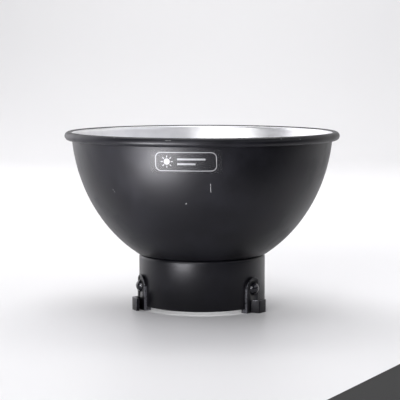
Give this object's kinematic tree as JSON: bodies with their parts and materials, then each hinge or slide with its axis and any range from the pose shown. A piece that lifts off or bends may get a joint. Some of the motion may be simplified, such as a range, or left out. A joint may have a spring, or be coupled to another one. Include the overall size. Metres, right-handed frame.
{
  "type": "studio flash reflector",
  "caption": "Bowl-shaped studio flash reflector, black outside and silver inside, with a rolled rim and a short collar carrying riveted bayonet lugs.",
  "frame": {"origin": "on the reflector's axis, at the level of the surface that it stands on, under the feet of the lugs", "axes": "+Z along the reflector's axis towards its mouth, -Y towards the side with the label, +X to the right of that side"},
  "size_m": [0.212, 0.212, 0.1363],
  "materials": {
    "black_paint": "satin black stoving enamel on spun aluminium, outside; the inside of the bowl is bright satin silver",
    "black_steel": "satin black enamel over pressed steel, worn pale along its edges",
    "rivet_black": "gloss black enamel",
    "zinc_steel": "dull zinc plate",
    "bare_aluminium": "satin",
    "clear_film": "clear gloss film",
    "white_ink": "matte white print"
  },
  "bodies": {
    "root": {"reflector_bowl": "black_paint", "mount_collar": "black_paint", "neck_rivets": "bare_aluminium", "label_film": "clear_film", "label_print": "white_ink", "lug_plate_right": "black_steel", "lug_hook_right": "black_steel", "lug_rivet_right": "rivet_black", "lug_washer_right": "zinc_steel", "lug_plate_rear": "black_steel", "lug_hook_rear": "black_steel", "lug_rivet_rear": "rivet_black", "lug_washer_rear": "zinc_steel", "lug_plate_left": "black_steel", "lug_hook_left": "black_steel", "lug_rivet_left": "rivet_black", "lug_washer_left": "zinc_steel"}
  },
  "joints": []
}
